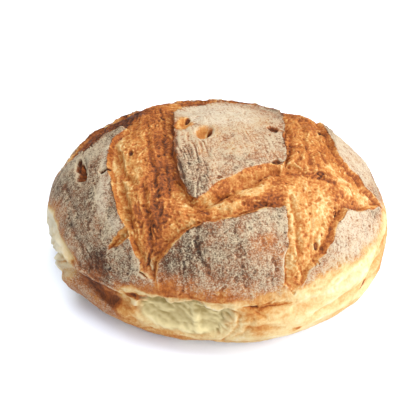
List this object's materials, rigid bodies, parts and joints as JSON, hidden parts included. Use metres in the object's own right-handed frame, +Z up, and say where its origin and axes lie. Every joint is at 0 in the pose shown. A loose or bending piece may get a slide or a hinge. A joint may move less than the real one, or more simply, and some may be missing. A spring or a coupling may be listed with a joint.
{
  "type": "sourdough loaf",
  "caption": "Round country loaf with a hash of slashes that tore open: floured skin plates over golden torn crust, pale stretched flank and a flat base.",
  "frame": {"origin": "middle of the loaf's footprint box, on the surface that it rests on", "axes": "+Z up through the crown; +X along the loaf's longer side, to the right as the picture sees it; the picture is taken from the -Y side, looking down at 40 degrees"},
  "size_m": [0.2608, 0.2162, 0.1177],
  "materials": {
    "crust": "matte baked crust, golden brown to brown, with a film of pale flour"
  },
  "bodies": {
    "root": {"loaf": "crust"}
  },
  "joints": []
}
